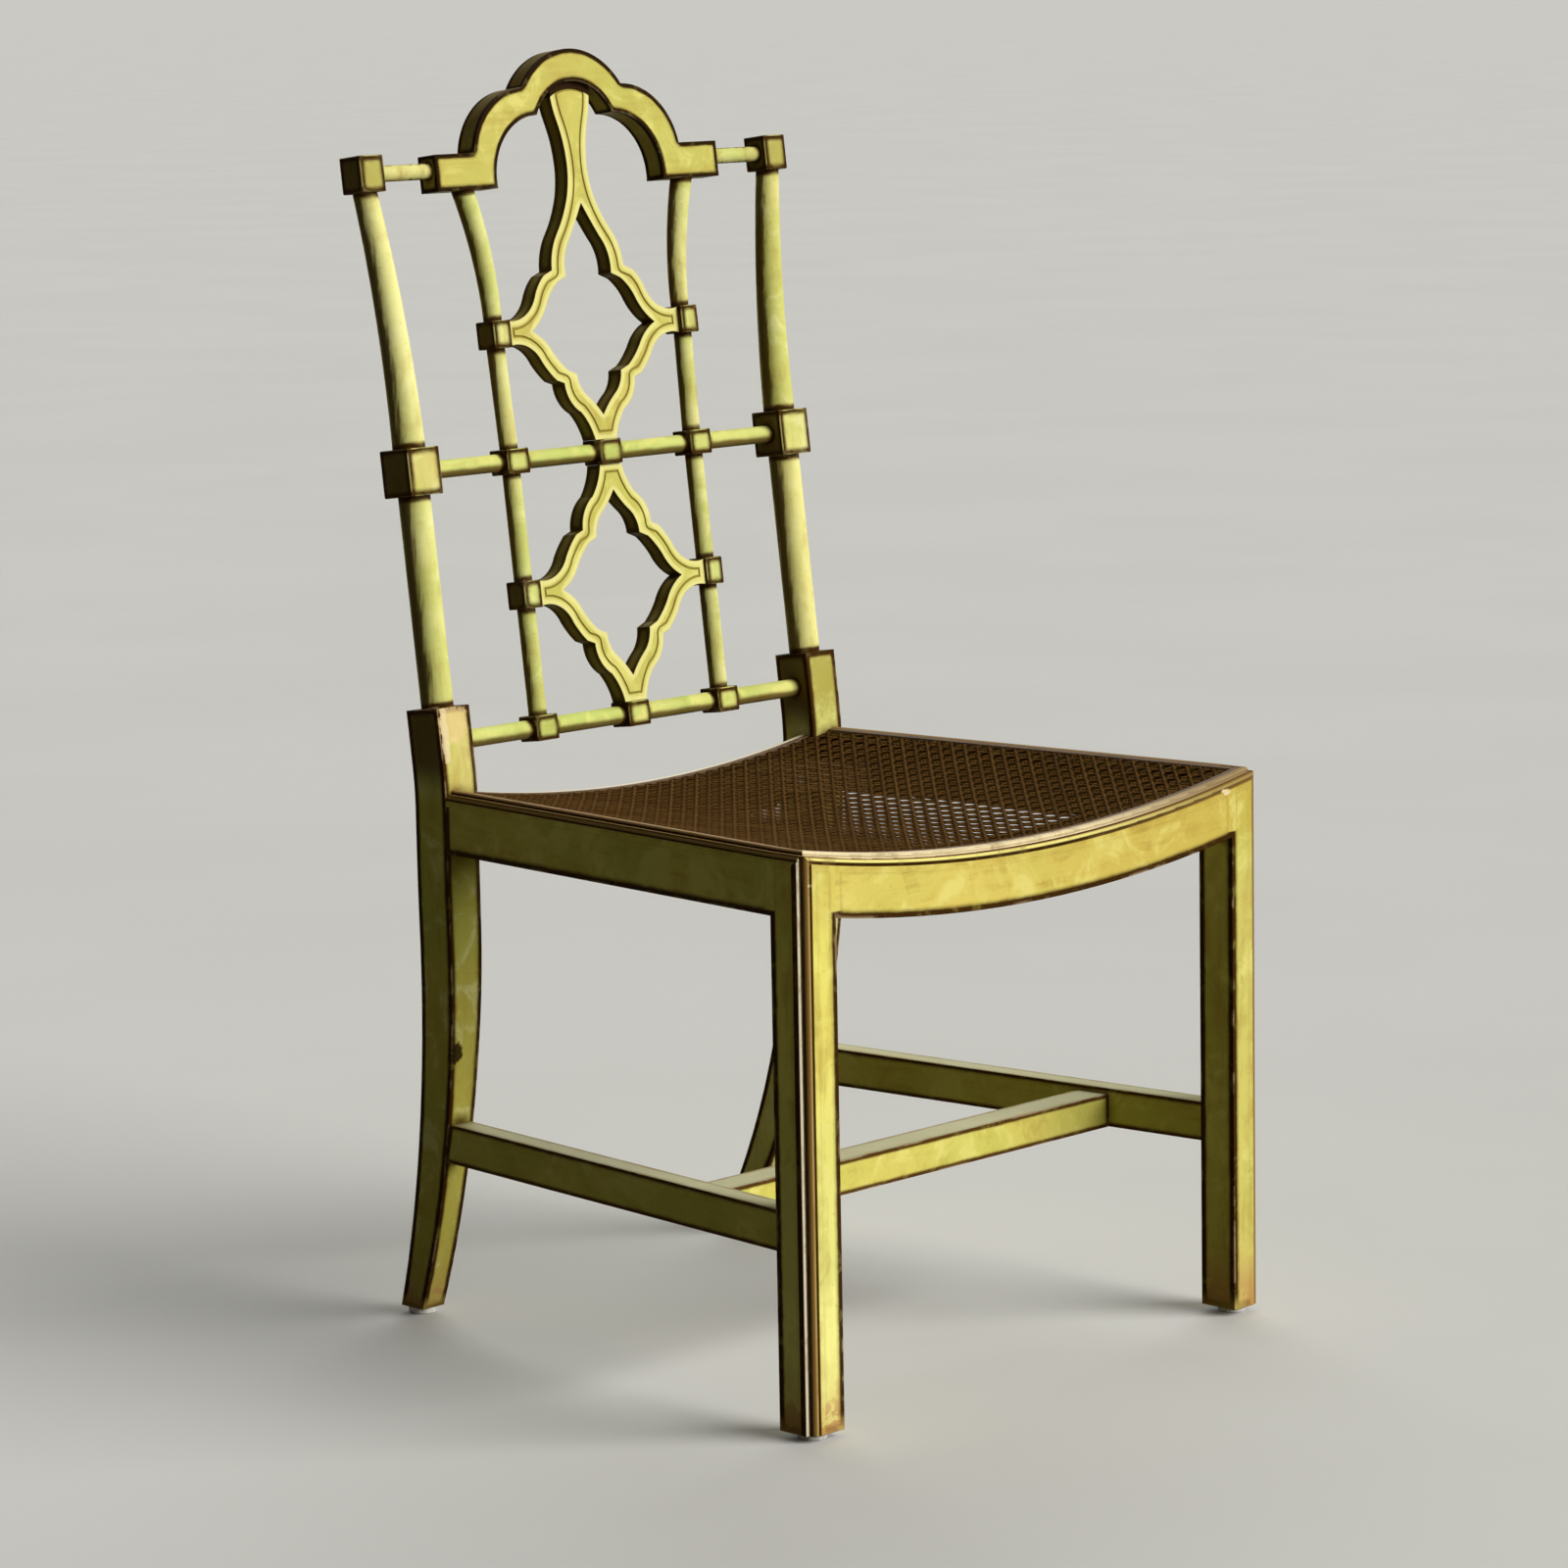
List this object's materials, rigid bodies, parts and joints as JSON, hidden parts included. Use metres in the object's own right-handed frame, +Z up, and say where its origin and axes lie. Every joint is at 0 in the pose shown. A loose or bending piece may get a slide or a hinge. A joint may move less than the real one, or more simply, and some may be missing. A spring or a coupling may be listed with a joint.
{
  "type": "side chair",
  "caption": "Painted side chair with a pagoda-shaped crest, a round-post lattice back with cusped diamond frets, a sagging woven cane seat, square beaded front legs and swept back legs.",
  "frame": {"origin": "on the floor, under the middle of the chair's bounding box", "axes": "+Z up, -Y the way a sitter faces, +X on the right seen from the front"},
  "size_m": [0.528, 0.535, 1.0282],
  "materials": {
    "painted_wood": "yellow-green paint with a brown antiquing glaze",
    "cane": "dark-stained woven cane",
    "spline_reed": "dark-stained reed",
    "raw_wood": "bare wood",
    "screw_steel": "zinc-plated steel",
    "glide_nylon": "white nylon"
  },
  "bodies": {
    "root": {"front_leg_left": "painted_wood", "front_leg_right": "painted_wood", "back_stile_left": "painted_wood", "back_stile_right": "painted_wood", "front_seat_rail": "painted_wood", "back_seat_rail": "painted_wood", "seat_rail_left": "painted_wood", "seat_rail_right": "painted_wood", "side_stretcher_left": "painted_wood", "side_stretcher_right": "painted_wood", "cross_stretcher": "painted_wood", "lower_cross_rail": "painted_wood", "middle_cross_rail": "painted_wood", "lower_inner_post_left": "painted_wood", "lower_inner_post_right": "painted_wood", "upper_inner_post_left": "painted_wood", "upper_inner_post_right": "painted_wood", "crest_rail": "painted_wood", "crest_rod_left": "painted_wood", "crest_rod_right": "painted_wood", "upper_fret": "painted_wood", "lower_fret": "painted_wood", "cane_panel": "cane", "front_cane_spline": "spline_reed", "back_cane_spline": "spline_reed", "cane_spline_left": "spline_reed", "cane_spline_right": "spline_reed", "corner_block_front_left": "raw_wood", "corner_block_front_right": "raw_wood", "corner_block_back_left": "raw_wood", "corner_block_back_right": "raw_wood", "corner_block_screws": "screw_steel", "glide_front_left": "glide_nylon", "glide_front_right": "glide_nylon", "glide_back_left": "glide_nylon", "glide_back_right": "glide_nylon"}
  },
  "joints": []
}
